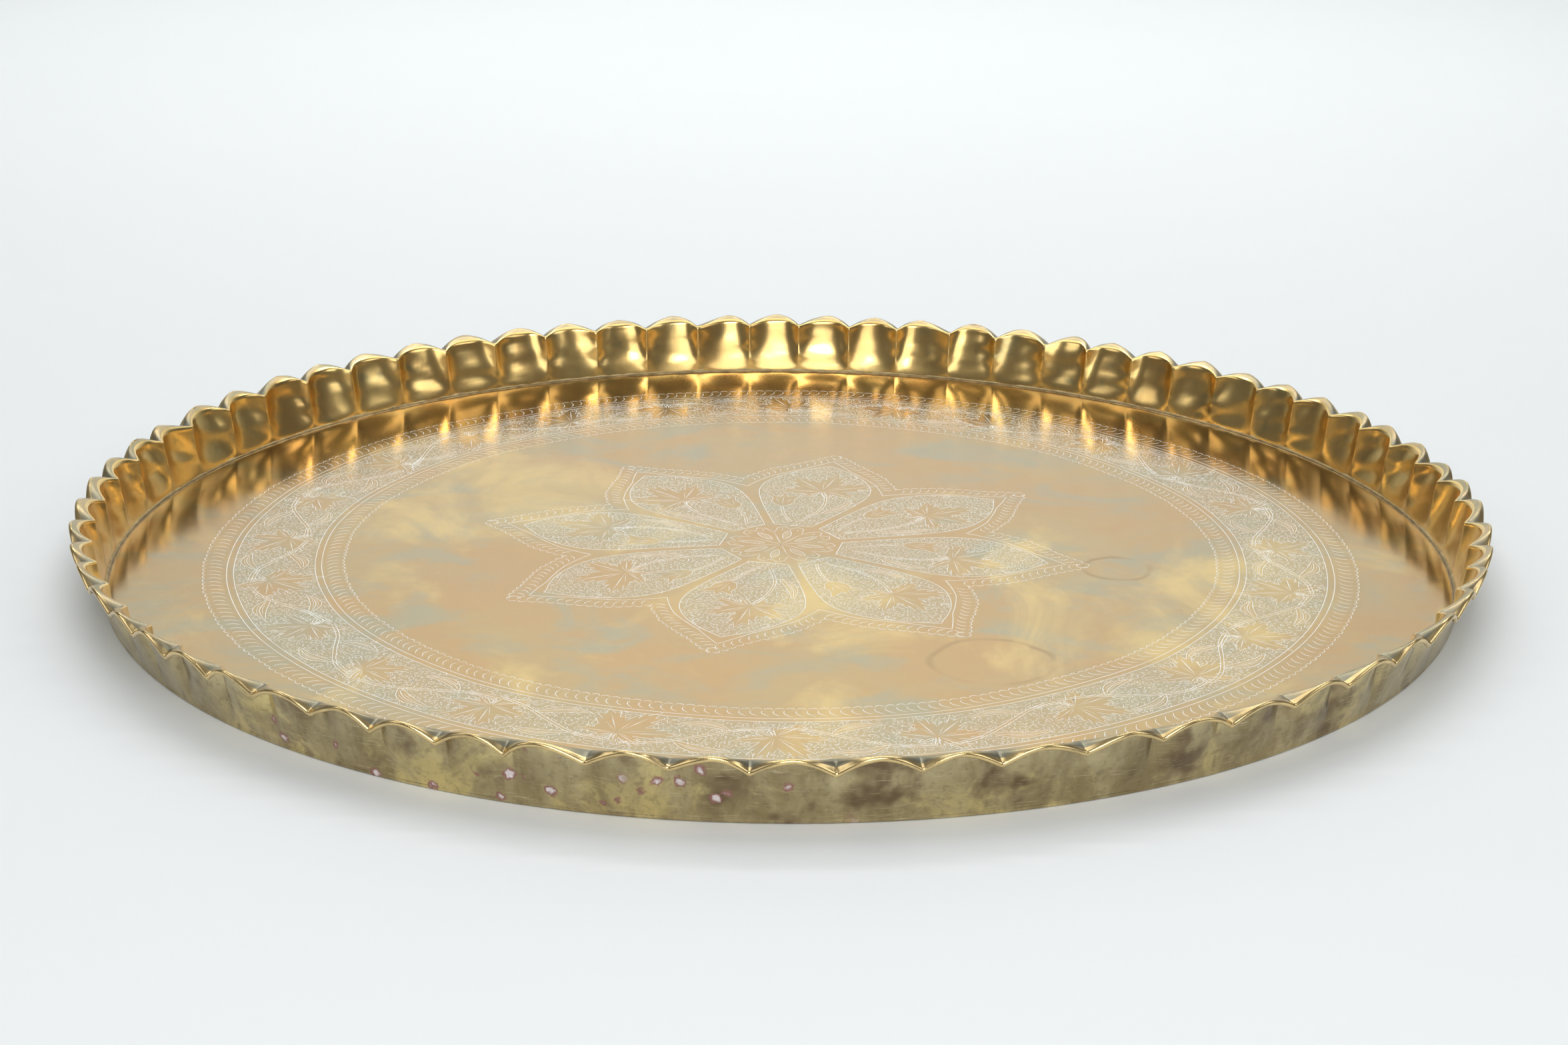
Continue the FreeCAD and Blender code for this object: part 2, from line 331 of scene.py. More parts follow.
def floor_ring(name, radii, columns, material):
    """A ring of the floor's upper face between the first and last radius."""
    angle = np.arange(columns) * 2 * math.pi / columns
    r, a = np.meshgrid(radii, angle, indexing="ij")
    x, y = r * np.cos(a), r * np.sin(a)
    verts = np.stack([x, y, floor_top(x, y)], -1).reshape(-1, 3)
    faces = grid_faces(len(radii), columns)[:, ::-1]
    normals = floor_normals(verts[:, 0], verts[:, 1])
    piece = new_piece(name, verts, faces, material, normals=normals)
    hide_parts("floor_plate")
    return piece


def turned_piece(name, profile, material):
    """A surface turned round the Z axis from (radius, height) points."""
    angle = np.arange(TURNED_COLUMNS) * 2 * math.pi / TURNED_COLUMNS
    r = np.array([point[0] for point in profile])[:, None]
    z = np.array([point[1] for point in profile])[:, None]
    verts = np.stack(np.broadcast_arrays(r * np.cos(angle), r * np.sin(angle), z), -1)
    faces = grid_faces(len(profile), TURNED_COLUMNS)
    piece = new_piece(name, verts.reshape(-1, 3), faces, material)
    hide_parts("floor_plate")


def make_floor_edge(cove_material, under_material):
    """The floor's edge: cove and lip, then the outer bend and the underside."""
    inner = FOOT - FLOOR_GAUGE
    cove = []
    for degrees in np.linspace(0, 90, 8):
        a = math.radians(degrees)
        cove.append((COVE_START + LIP_BEND * math.sin(a), FLOOR_GAUGE + LIP_BEND * (1 - math.cos(a))))
    cove += [(inner, SEEN_LIP - 0.2 * MM), (inner + 0.2 * MM, SEEN_LIP), (FOOT - 0.1 * MM, SEEN_LIP)]
    turned_piece("floor_cove", cove, cove_material)
    bend = LIP_BEND + FLOOR_GAUGE
    under = [(FOOT - 0.1 * MM, SEEN_LIP)]
    for degrees in np.linspace(0, 90, 8):
        a = math.radians(degrees)
        under.append((FOOT - 0.05 * MM - bend * (1 - math.cos(a)), bend * (1 - math.sin(a))))
    under += [(r, 0.0) for r in (0.34, 0.30, 0.24, 0.18, 0.12, 0.06, 0.02, 0.0005)]
    turned_piece("floor_underside", under, under_material)


def make_solder(material):
    """Ragged fillet of solder on the lip, against the foot of the gallery."""
    columns = 1800
    angle = np.arange(columns) * 2 * math.pi / columns
    x, y = FOOT * np.cos(angle), FOOT * np.sin(angle)
    at_ridges = np.cos(flutes.phase(angle) * 2 * math.pi)
    ragged = (sum_of_waves(x, y, 30 * MM, 8, 21) * 0.3 + sum_of_waves(x, y, 9 * MM, 8, 22) * 0.3
              + 0.35 * at_ridges)
    rise = (0.50 + ragged * 0.45).clip(0.1) * MM
    width = (0.75 + 0.35 * ragged).clip(0.2) * MM
    rows = []
    for t in np.linspace(0, 1, 7):
        bow = math.sin(t * math.pi) * 0.22 * MM
        rows.append(np.stack([FOOT - width * (1 - t) - 0.1 * MM * (1 - t) - bow * 0.4,
                              SEEN_LIP - 0.5 * MM * (1 - t) + rise * t - bow], -1))
    behind = np.full(columns, FOOT + 0.35 * MM)
    rows.append(np.stack([behind, SEEN_LIP + rise + 0.05 * MM], -1))
    rows.append(np.stack([behind, np.full(columns, SEEN_LIP - 0.8 * MM)], -1))
    loop = np.array(rows)
    faces = grid_faces(len(rows), columns, wrap_rows=True)
    piece = new_piece("foot_fillet", round_axis(loop, angle), faces, material)
    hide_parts("foot_solder")


# ------------------------------------------------------------------ engraving

LINE = 0.58 * MM
BAND = (0.700 * FOOT, 0.818 * FOOT)          # ground of the leaf band
BAND_MIDDLE = 0.759 * FOOT
BAND_LEAVES = 24
PETALS = 8
PETAL_TURN = math.radians(-11.2)
PETAL_EDGE = np.array([(0, .468), (1, .459), (3.5, .438), (5.7, .42), (10.2, .396), (15, .372),
                       (18, .353), (22.5, .325)])                # degrees off axis, radius
PETAL_GROUND = np.array([(.09, .029), (.13, .046), (.18, .066), (.22, .08), (.26, .089),
                         (.30, .086), (.34, .068), (.375, .04), (.408, 0)])  # radius, half width
FLOWER = 0.083 * FOOT


class Strokes:
    """Engraved lines, filled with the pale residue of old polish."""

    def __init__(self):
        self.verts, self.faces, self.count = [], [], 0

    def add(self, paths, width=LINE, closed=False):
        """paths is one line of points in the plane or many lines of equal length."""
        paths = np.asarray(paths, float)
        if paths.ndim == 2:
            paths = paths[None]
        lines, points = paths.shape[:2]
        if closed:
            run = np.roll(paths, -1, 1) - np.roll(paths, 1, 1)
        else:
            run = np.gradient(paths, axis=1)
        side = np.stack([-run[..., 1], run[..., 0]], -1)
        side /= np.linalg.norm(side, axis=-1, keepdims=True) + 1e-12
        half = np.broadcast_to(np.asarray(width, float).reshape(-1, 1, 1) / 2, (lines, 1, 1))
        z = floor_top(paths[..., 0], paths[..., 1])[..., None]
        left = np.concatenate([paths + side * half, z - 0.03 * MM], -1)
        right = np.concatenate([paths - side * half, z - 0.03 * MM], -1)
        ridge = np.concatenate([paths, z + 0.05 * MM], -1)
        section = np.stack([left, right, ridge], 2)
        if closed:
            verts = section.reshape(lines, -1, 3)
        else:
            ends = np.concatenate([paths, z], -1)
            verts = np.concatenate([ends[:, :1], section[:, 1:-1].reshape(lines, -1, 3),
                                    ends[:, -1:]], 1)
        faces = self.pattern(points, closed)
        each = verts.shape[1]
        starts = self.count + each * np.arange(lines)
        self.faces.append((faces[None] + starts[:, None, None]).reshape(-1, 3))
        self.verts.append(verts.reshape(-1, 3))
        self.count += lines * each

    @staticmethod
    def pattern(points, closed):
        """Triangles of one line: three sides, ends drawn to a point."""
        def at(k, j):
            if closed:
                return 3 * (k % points) + j % 3
            if k == 0:
                return 0
            if k == points - 1:
                return 3 * points - 5
            return 3 * k - 2 + j % 3

        triangles = []
        for k in range(points if closed else points - 1):
            for j in range(3):
                a, b, c, d = at(k, j), at(k + 1, j), at(k + 1, j + 1), at(k, j + 1)
                triangles += [t for t in ((a, b, c), (a, c, d)) if len(set(t)) == 3]
        return np.array(triangles)

    def make(self, name, material):
        piece = new_piece(name, np.concatenate(self.verts), np.concatenate(self.faces), material,
                          smooth=False)
        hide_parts("floor_plate")
        return piece


def polar(radius, angle):
    return np.stack([radius * np.cos(angle), radius * np.sin(angle)], -1)


def placed(points, at, heading, size=1.0):
    """Points of a pattern about (0, 0) pointing along x, put down at a place."""
    points = np.asarray(points, float) * size
    c, s = math.cos(heading), math.sin(heading)
    return points @ np.array([[c, s], [-s, c]]) + at


def distances(line):
    """How far along the line each of its points is."""
    return np.concatenate([[0], np.cumsum(np.linalg.norm(np.diff(line, axis=0), axis=1))])


def points_at(line, run, at):
    """Points of the line, whose distances are run, at other distances."""
    return np.stack([np.interp(at, run, line[:, 0]), np.interp(at, run, line[:, 1])], -1)


def curve(points, count):
    """Smooth line through a few points, in count points of even spacing."""
    fine = smooth_through(np.asarray(points, float), 12)
    run = distances(fine)
    return points_at(fine, run, np.linspace(0, run[-1], count))


def inside(points, shape):
    """Which points lie within the closed shape."""
    x, y = points[:, 0], points[:, 1]
    result = np.zeros(len(points), bool)
    near = np.all((points >= shape.min(0)) & (points <= shape.max(0)), axis=1)
    px, py = x[near], y[near]
    hit = np.zeros(len(px), bool)
    for (x0, y0), (x1, y1) in zip(shape, np.roll(shape, -1, 0)):
        if y0 != y1:
            crosses = (y0 > py) != (y1 > py)
            hit ^= crosses & (px < (x1 - x0) * (py - y0) / (y1 - y0) + x0)
    result[near] = hit
    return result


def grown(shape, margin):
    """The shape with its points pushed away from its middle."""
    away = shape - shape.mean(0)
    return shape + away / np.linalg.norm(away, axis=1, keepdims=True) * margin


LOBES = ((-152, .42), (-106, .70), (-54, .92), (0, 1.0), (52, .92), (104, .72), (150, .44))


def vine_leaf(draw):
    """Outline and ribs of a toothed leaf about its stem point."""
    lobes = [(a + draw.normal(0, 4), r * draw.uniform(0.88, 1.08)) for a, r in LOBES]
    outline = [(-175, .10)]
    for k, (axis, length) in enumerate(lobes):
        before = (axis - lobes[k - 1][0]) / 2 if k else 22
        after = (lobes[k + 1][0] - axis) / 2 if k < len(lobes) - 1 else 22
        valley = 0.46 * length
        outline += [(axis - before * 0.70, .68 * length), (axis - before * 0.46, .60 * length),
                    (axis - before * 0.46, .84 * length), (axis - before * 0.20, .76 * length),
                    (axis, length),
                    (axis + after * 0.22, .77 * length), (axis + after * 0.47, .83 * length),
                    (axis + after * 0.46, .61 * length), (axis + after * 0.72, .67 * length)]
        if k < len(lobes) - 1:
            outline.append((axis + after, valley))
    outline.append((175, .10))
    outline = np.array(outline)
    shape = polar(outline[:, 1], np.radians(outline[:, 0]))
    ribs = [(np.radians(a), 0.86 * r) for a, r in lobes]
    ribs = np.array([[polar(0.05, a), polar(r * 0.5, a), polar(r, a)] for a, r in ribs])
    return shape, ribs


def blade(bend, width):
    """A narrow curved leaf of unit length along x, with its middle rib."""
    t = np.linspace(0, 1, 13)
    half = width * np.sin(t * math.pi) ** 0.8 * (1 - 0.25 * t)
    middle = np.stack([t, bend * np.sin(t * math.pi)], -1)
    upper = middle + np.stack([0 * t, half], -1)
    lower = middle - np.stack([0 * t, half], -1)
    return np.concatenate([upper, lower[-2:0:-1]]), middle[1:-1]


BUD = np.array([(0, 0), (.12, .16), (.34, .27), (.58, .25), (.86, .42), (.74, .22), (.66, .10),
                (1.0, .02), (.70, -.08), (.78, -.22), (.84, -.40), (.55, -.25), (.30, -.26),
                (.10, -.15)])
BUD_RIBS = np.array([[(.1, 0), (.4, .01), (.8, .01)], [(.25, .05), (.42, .13), (.62, .2)],
                     [(.25, -.05), (.42, -.13), (.62, -.2)]])


class Ornament:
    """Leaves, stems and ground of one engraved field."""

    def __init__(self, seed):
        self.draw = np.random.default_rng(seed)
        self.strokes = Strokes()
        self.shapes = []                     # plain shapes that the ground goes round

    def leaf(self, at, heading, size):
        shape, ribs = vine_leaf(self.draw)
        shape = placed(shape, at, heading, size)
        self.shapes.append(shape)
        self.strokes.add(shape, LINE * 0.85, closed=True)
        self.strokes.add(placed(ribs, at, heading, size), LINE * 1.2)
        between = placed(ribs * 0.62, 0, math.radians(13))
        self.strokes.add(placed(between, at, heading, size), LINE * 0.6)

    def blade(self, start, heading, size, bend, width=0.11):
        shape, rib = blade(bend, width)
        self.shapes.append(placed(shape, start, heading, size))
        self.strokes.add(self.shapes[-1], LINE * 0.85, closed=True)
        self.strokes.add(placed(rib, start, heading, size), LINE)
        for offset in (0.35, -0.35):
            line = rib[2:-2] + np.array([0, offset * width])
            self.strokes.add(placed(line, start, heading, size), LINE * 0.6)

    def bud(self, at, heading, size):
        self.shapes.append(placed(BUD, at, heading, size))
        self.strokes.add(self.shapes[-1], LINE * 0.85, closed=True)
        self.strokes.add(placed(BUD_RIBS, at, heading, size), LINE * 0.8)

    def stem(self, points, width):
        """Two lines with a plain strip between them."""
        middle = curve(points, 16)
        run = np.gradient(middle, axis=0)
        side = np.stack([-run[:, 1], run[:, 0]], -1)
        side *= width / 2 / np.linalg.norm(side, axis=1, keepdims=True)
        self.strokes.add(middle + side, LINE * 0.9)
        self.strokes.add(middle - side, LINE * 0.9)
        self.shapes.append(np.concatenate([middle + side, (middle - side)[::-1]]))

    def ground(self, spots, gap, allowed):
        """Florets and short cuts over the spots that lie clear of the shapes."""
        draw = self.draw
        clear = allowed(spots)
        for shape in self.shapes:
            clear &= ~inside(spots, grown(shape, 0.5 * MM))
        spots = spots[clear]
        order = draw.permutation(len(spots))
        florets = []
        for spot in spots[order]:
            if not florets or np.min(np.hypot(*(np.array(florets) - spot).T)) > 8.4 * MM:
                florets.append(spot)
        florets = np.array(florets)
        distance = np.array([np.min(np.hypot(*(florets - spot).T)) for spot in spots])
        spots = spots[distance > 2.7 * MM]
        rays = 8
        turn = draw.uniform(0, 2 * math.pi, len(florets))[:, None] + np.arange(rays) * 2 * math.pi / rays
        turn = turn + draw.normal(0, 0.12, turn.shape)
        inner = draw.uniform(0.5, 0.9, turn.shape)[..., None] * MM
        outer = draw.uniform(1.9, 2.9, turn.shape)[..., None] * MM
        ray = np.stack([np.cos(turn), np.sin(turn)], -1)
        base = florets[:, None, :]
        lines = np.stack([base + ray * inner, base + ray * (inner + outer) / 2, base + ray * outer], 2)
        self.strokes.add(lines.reshape(-1, 3, 2), LINE * 0.95)
        heading = sum_of_waves(spots[:, 0], spots[:, 1], 14 * MM, 6, 31) * 1.3
        heading += draw.normal(0, 0.5, len(spots))
        length = draw.uniform(0.8, 1.45, len(spots))[:, None] * gap / 2
        along = np.stack([np.cos(heading), np.sin(heading)], -1)
        across = np.stack([-along[:, 1], along[:, 0]], -1)
        bow = draw.normal(0, 0.16, len(spots))[:, None] * gap
        lines = np.stack([spots - along * length, spots + across * bow, spots + along * length], 1)
        self.strokes.add(lines, LINE * draw.uniform(0.8, 1.15, len(spots)))


def jittered(low, high, gap, draw):
    """Spots spread evenly over the ring between two radii."""
    rows = []
    radii = np.arange(low + gap / 2, high, gap * 0.9)
    for k, r in enumerate(radii):
        count = max(1, int(2 * math.pi * r / gap))
        angle = (np.arange(count) + 0.5 * (k % 2)) * 2 * math.pi / count
        rows.append(polar(r, angle))
    spots = np.concatenate(rows)
    return spots + draw.uniform(-0.36, 0.36, spots.shape) * gap


def chain(strokes, spine, outward, count, depth, reach, slant):
    """Row of little arcs along a line with a curved cut across under each of them."""
    run = distances(spine)
    draw = np.random.default_rng(count)
    marks = np.arange(count + 1) * run[-1] / count
    t = np.linspace(0, 1, 5)
    at = marks[:-1, None] + (marks[1:] - marks[:-1])[:, None] * t
    place, away = points_at(spine, run, at), points_at(outward, run, at)
    lift = np.sin(t * math.pi)[None, :, None] ** 0.7 * depth * draw.uniform(0.75, 1.2, (count, 1, 1))
    strokes.add(place + away * lift)
    lean = draw.normal(0, 0.04, (count, 1)) * slant
    down = reach * draw.uniform(0.86, 1.0, (count, 1))
    at = marks[:-1, None] + lean + slant * t - slant * 0.55 * np.sin(t * math.pi)
    place, away = points_at(spine, run, at), points_at(outward, run, at)
    strokes.add(place - away * (0.9 * MM + down * t)[..., None])


def ring_line(strokes, radius, count=720):
    angle = np.arange(count) * 2 * math.pi / count
    wobble = 0.15 * MM * np.sin(angle * 7 + radius * 300) + 0.1 * MM * np.sin(angle * 23)
    strokes.add(polar(radius + wobble, angle), LINE, closed=True)


def engrave_rings():
    """The circles and the chain borders on each side of the leaf band."""
    strokes = Strokes()
    for radius in (0.690, 0.700, 0.818, 0.828):
        ring_line(strokes, radius * FOOT)
    angle = np.linspace(0, 2 * math.pi, 1441)
    out = polar(1.0, angle)
    chain(strokes, out * 0.661 * FOOT, -out, 287, 1.9 * MM, 0.0225 * FOOT, 3.6 * MM)
    chain(strokes, out * 0.8585 * FOOT, out, 327, 1.9 * MM, 0.0245 * FOOT, 3.4 * MM)
    return strokes


def engrave_band():
    """Wavy vine with a vine leaf in each bend, narrow leaves, florets and hatched ground."""
    field = Ornament(41)
    draw = field.draw
    step = 2 * math.pi / BAND_LEAVES
    swing = 0.040 * FOOT

    def vine(angle):
        return polar(BAND_MIDDLE - swing * np.cos(angle * BAND_LEAVES / 2), angle)

    for k in range(BAND_LEAVES):
        side = 1 if k % 2 == 0 else -1
        angle = k * step + draw.normal(0, 0.012)
        base = polar(BAND_MIDDLE - side * 0.010 * FOOT, angle)
        tilt = math.radians(draw.normal(38, 7)) * side
        heading = angle + (0 if side > 0 else math.pi) + tilt
        field.leaf(base, heading, draw.uniform(0.076, 0.086) * FOOT)
        root = vine(angle - 0.07)
        toward = polar(BAND_MIDDLE - side * 0.030 * FOOT, angle - 0.012)
        field.stem([root, toward, base], 1.5 * MM)
        far = k * step + 0.55 * step
        for start, reach, end, bend, width in ((0.04, 0.036, -0.055, 0.16, 0.13),
                                               (-0.05, -0.040, 0.045, 0.14, 0.14)):
            root = vine(far + start)
            run = polar(BAND_MIDDLE + side * reach * FOOT, far + end) - root
            field.blade(root, math.atan2(*run[::-1]), np.linalg.norm(run) * 1.02, bend * side, width)
    for k in range(BAND_LEAVES):
        ends = np.linspace(k * step, (k + 1) * step, 5)
        field.stem(vine(ends), 1.7 * MM)
    gap = 2.45 * MM

    def allowed(spots):
        r = np.hypot(spots[:, 0], spots[:, 1])
        return (r > BAND[0] + 1.2 * MM) & (r < BAND[1] - 1.2 * MM)

    field.ground(jittered(*BAND, gap, draw), gap, allowed)
    return field


def petal_border():
    """Edge of all the petals as one closed line, with outward directions."""
    half = np.linspace(0, 22.5, 46)
    radius = np.interp(half, *PETAL_EDGE.T) * FOOT
    offsets = np.radians(np.concatenate([-half[::-1], half[1:-1]]))
    radii = np.concatenate([radius[::-1], radius[1:-1]])
    line = []
    for k in range(PETALS):
        line.append(polar(radii, offsets + k * math.pi / 4 + PETAL_TURN))
    return np.concatenate(line)


def engrave_rosette():
    """Eight pointed petals with chain edges, each a field of leaf, bud and florets."""
    field = Ornament(77)
    draw = field.draw
    border = petal_border()
    closed = np.concatenate([border, border[:1]])
    per_petal = len(border) // PETALS
    inner_line = border * (1 - 0.034 * FOOT / np.linalg.norm(border, axis=1, keepdims=True))
    field.strokes.add(inner_line, LINE, closed=True)
    for k in range(PETALS):
        for start in (k * per_petal, k * per_petal + 45):
            piece = closed[start:start + 46]
            run = np.gradient(piece, axis=0)
            out = np.stack([run[:, 1], -run[:, 0]], -1)
            out /= np.linalg.norm(out, axis=1, keepdims=True)
            chain(field.strokes, piece, out, 15, 1.9 * MM, 0.018 * FOOT, 3.0 * MM)
    cells = []
    for k in range(PETALS):
        axis = k * math.pi / 4 + PETAL_TURN

        def spot(along, across):
            return placed([(along * FOOT, across * FOOT)], (0, 0), axis)[0]

        ground = np.concatenate([PETAL_GROUND, PETAL_GROUND[-2::-1] * [1, -1]])
        cell = placed(ground * FOOT, (0, 0), axis)
        upper = curve(cell[:9], 30)
        lower = curve(cell[8:], 30)
        cells.append(np.concatenate([upper, lower[1:]]))
        field.strokes.add(cells[-1], LINE, closed=True)
        hand = 1 if draw.uniform() < 0.75 else -1
        lean = draw.normal(0, 0.1)
        leaf = spot(draw.uniform(.262, .276), .012 * hand)
        field.leaf(leaf, axis + hand * 0.15 + lean, draw.uniform(0.090, 0.102) * FOOT)
        field.stem([spot(.105, .004 * hand), spot(.17, .026 * hand), spot(.225, .026 * hand), leaf],
                   1.4 * MM)
        bud = spot(.180, -.036 * hand)
        field.bud(bud, axis - hand * 0.05 + lean, 0.070 * FOOT)
        field.stem([spot(.105, -.006 * hand), spot(.14, -.024 * hand), bud], 1.3 * MM)
        field.blade(spot(.155, .030 * hand), axis + hand * 0.42, 0.088 * FOOT, 0.10 * hand, 0.10)
        for side in (1, -1):
            curl = [spot(.365, .046 * side), spot(.352, .055 * side), spot(.345, .050 * side),
                    spot(.350, .043 * side)]
            field.strokes.add(curve(curl, 9), LINE * 0.9)
    gap = 2.3 * MM

    def allowed(spots):
        clear = np.zeros(len(spots), bool)
        for cell in cells:
            clear |= inside(spots, grown(cell, -0.9 * MM))
        return clear

    field.ground(jittered(0.09 * FOOT, 0.41 * FOOT, gap, draw), gap, allowed)
    engrave_flower(field)
    return field, cells


def engrave_flower(field):
    """The small flower in the middle: star, ribs and striped leaves."""
    outline = []
    for k in range(PETALS):
        axis = k * math.pi / 4 + PETAL_TURN
        for off, r in ((-15, .94), (-7, 1.0), (0, .86), (7, 1.0), (15, .94), (22.5, .68)):
            outline.append(polar(FLOWER * r, axis + math.radians(off)))
        rib = [polar(FLOWER * r, axis + math.radians(22.5)) for r in (0.0, 0.3, 0.66)]
        field.strokes.add(rib, LINE * 1.1)
        shape, _ = blade(0.0, 0.17)
        start = polar(FLOWER * 0.30, axis)
        field.strokes.add(placed(shape, start, axis, FLOWER * 0.5), LINE * 0.9, closed=True)
        for t in np.linspace(0.2, 0.8, 7):
            cut = [(t - .05, -.13), (t, 0), (t + .03, .13)]
            field.strokes.add(placed(cut, start, axis, FLOWER * 0.5), LINE * 0.6)
        for off in (-10, 10):
            dash = [polar(FLOWER * r, axis + math.radians(off)) for r in (0.78, 0.84, 0.90)]
            field.strokes.add(dash, LINE)
    field.strokes.add(np.array(outline), LINE, closed=True)


def mark_ground(piece, field, in_ground):
    """Vertex values: 1 on hatched ground and 0 on plain metal and leaves."""
    mesh = piece.data
    spots = np.empty(len(mesh.vertices) * 3)
    mesh.vertices.foreach_get("co", spots)
    spots = spots.reshape(-1, 3)[:, :2]
    value = in_ground(spots).astype(float)
    for shape in field.shapes:
        value[inside(spots, shape)] = 0
    layer = mesh.attributes.new("ground", "FLOAT", "POINT")
    layer.data.foreach_set("value", value)


# ------------------------------------------------------------------ materials

class Shader:
    """A material's node tree with short ways to add nodes."""

    def __init__(self, name, metallic, roughness):
        self.material = bpy.data.materials.new(name)
        self.material.use_nodes = True
        self.tree = self.material.node_tree
        self.surface = self.tree.nodes["Principled BSDF"]
        self.surface.inputs["Metallic"].default_value = metallic
        self.surface.inputs["Roughness"].default_value = roughness
        coords = self.tree.nodes.new("ShaderNodeTexCoord")
        self.place = coords.outputs["Object"]

    def link(self, source, target):
        """source is a socket or a plain value."""
        if hasattr(source, "is_output"):
            self.tree.links.new(source, target)
        elif hasattr(source, "__len__") and len(source) == 3 and target.type == "RGBA":
            target.default_value = (*source, 1)
        else:
            target.default_value = source

    def set(self, name, source):
        self.link(source, self.surface.inputs[name])

    def node(self, kind, source, socket="Vector", values=()):
        """A new node fed by source, with (name, value) pairs set on its inputs."""
        node = self.tree.nodes.new("ShaderNode" + kind)
        self.tree.links.new(source, node.inputs[socket])
        for name, value in values:
            node.inputs[name].default_value = value
        return node

    def noise(self, scale, detail=4.0, roughness=0.55, stretch=None, distortion=0.0):
        """Noise of the given scale per metre, from 0 to 1."""
        place = self.place
        if stretch is not None:
            place = self.node("Mapping", place, values=[("Scale", stretch)]).outputs["Vector"]
        values = [("Scale", scale), ("Detail", detail), ("Roughness", roughness),
                  ("Distortion", distortion)]
        return self.node("TexNoise", place, values=values).outputs["Fac"]

    def axis(self, name):
        """X, Y or Z of the point in the tray's frame."""
        return self.node("SeparateXYZ", self.place).outputs[name]

    def cells(self, scale):
        """Distance to the nearest of many scattered spots, in parts of their spacing."""
        return self.node("TexVoronoi", self.place, values=[("Scale", scale)]).outputs["Distance"]

    def ring(self, centre, radius, width):
        """Broken ring as a wet foot leaves it: 0 off the ring, up to 1 on it."""
        node = self.tree.nodes.new("ShaderNodeVectorMath")
        node.operation = "DISTANCE"
        node.inputs[1].default_value = centre
        self.tree.links.new(self.place, node.inputs[0])
        ragged = self.scaled(self.noise(30.0, 4.0), radius - 4 * MM, radius + 4 * MM)
        off = self.calc("ABSOLUTE", self.calc("SUBTRACT", node.outputs["Value"], ragged))
        broken = self.steps(self.noise(24.0, 3.0), 0.30, 0.62)
        return self.calc("MULTIPLY", self.steps(off, width, 0.0), broken)

    def steps(self, source, low, high):
        """source brought from low..high to 0..1, clamped and smoothed."""
        node = self.node("MapRange", source, "Value", [("From Min", low), ("From Max", high)])
        node.interpolation_type = "SMOOTHSTEP"
        return node.outputs["Result"]

    def scaled(self, source, low, high):
        """source from 0..1 brought to low..high."""
        return self.node("MapRange", source, "Value",
                         [("To Min", low), ("To Max", high)]).outputs["Result"]

    def calc(self, operation, a, b=0.0):
        node = self.tree.nodes.new("ShaderNodeMath")
        node.operation = operation
        self.link(a, node.inputs[0])
        self.link(b, node.inputs[1])
        return node.outputs[0]

    def mix(self, factor, a, b):
        """Colour a where factor is 0 and b where it is 1."""
        node = self.tree.nodes.new("ShaderNodeMix")
        node.data_type = "RGBA"
        self.link(factor, node.inputs["Factor"])
        self.link(a, node.inputs[6])
        self.link(b, node.inputs[7])
        return node.outputs[2]

    def bump(self, height, distance, strength=1.0):
        node = self.node("Bump", height, "Height",
                         [("Distance", distance), ("Strength", strength)])
        self.set("Normal", node.outputs["Normal"])


STAINS = (((0.29 * FOOT, -0.48 * FOOT, 0.0), 30 * MM), ((0.50 * FOOT, -0.10 * FOOT, 0.0), 18 * MM))


def floor_brass(name, smooth, dull):
    """Satin brass with coppery and greenish clouds of old tarnish."""
    s = Shader(name, 1.0, dull)
    clouds = s.noise(11.0, 5.0, 0.62, distortion=0.7)
    green = s.noise(13.0, 5.0, 0.6, (1, 1.4, 1), 0.9)
    bright = s.noise(8.0, 5.0, 0.62, (1.5, 1, 1), 0.6)
    broad = s.noise(3.5, 3.0, 0.5)
    fine = s.noise(120.0, 4.0, 0.6)
    colour = s.mix(s.steps(clouds, 0.38, 0.62), (0.60, 0.37, 0.15), (0.575, 0.40, 0.18))
    colour = s.mix(s.steps(green, 0.47, 0.68), colour, (0.47, 0.40, 0.245))
    gold = s.calc("ADD", s.calc("MULTIPLY", bright, 0.7), s.calc("MULTIPLY", broad, 0.3))
    colour = s.mix(s.steps(gold, 0.50, 0.66), colour, (0.82, 0.58, 0.22))
    colour = s.mix(s.calc("MULTIPLY", fine, 0.2), colour, (0.38, 0.27, 0.14))
    for centre, radius in STAINS:
        colour = s.mix(s.ring(centre, radius, 2.8 * MM), colour, (0.42, 0.27, 0.11))
    pits = s.steps(s.cells(21.0), 0.030, 0.016)
    colour = s.mix(s.calc("MULTIPLY", pits, 0.75), colour, (0.20, 0.15, 0.10))
    haze = s.noise(55.0, 4.0, 0.6)
    ground = s.tree.nodes.new("ShaderNodeAttribute")
    ground.attribute_name = "ground"
    misted = s.calc("MULTIPLY", ground.outputs["Fac"], s.scaled(haze, 0.15, 0.65))
    colour = s.mix(misted, colour, (0.47, 0.43, 0.30))
    s.set("Base Color", colour)
    rough = s.calc("ADD", s.scaled(clouds, smooth, dull), s.scaled(fine, -0.02, 0.03))
    s.set("Roughness", s.calc("ADD", rough, s.calc("MULTIPLY", misted, 0.12)))
    return s.material


def polish_residue():
    """Pale dried polish in the cuts, with metal showing through here and there."""
    s = Shader("polish_residue", 0.15, 0.6)
    worn = s.noise(35.0, 5.0, 0.6)
    s.set("Base Color", s.mix(s.steps(worn, 0.45, 0.75), (0.94, 0.96, 0.93), (0.80, 0.78, 0.69)))
    s.set("Roughness", s.scaled(worn, 0.5, 0.7))
    return s.material


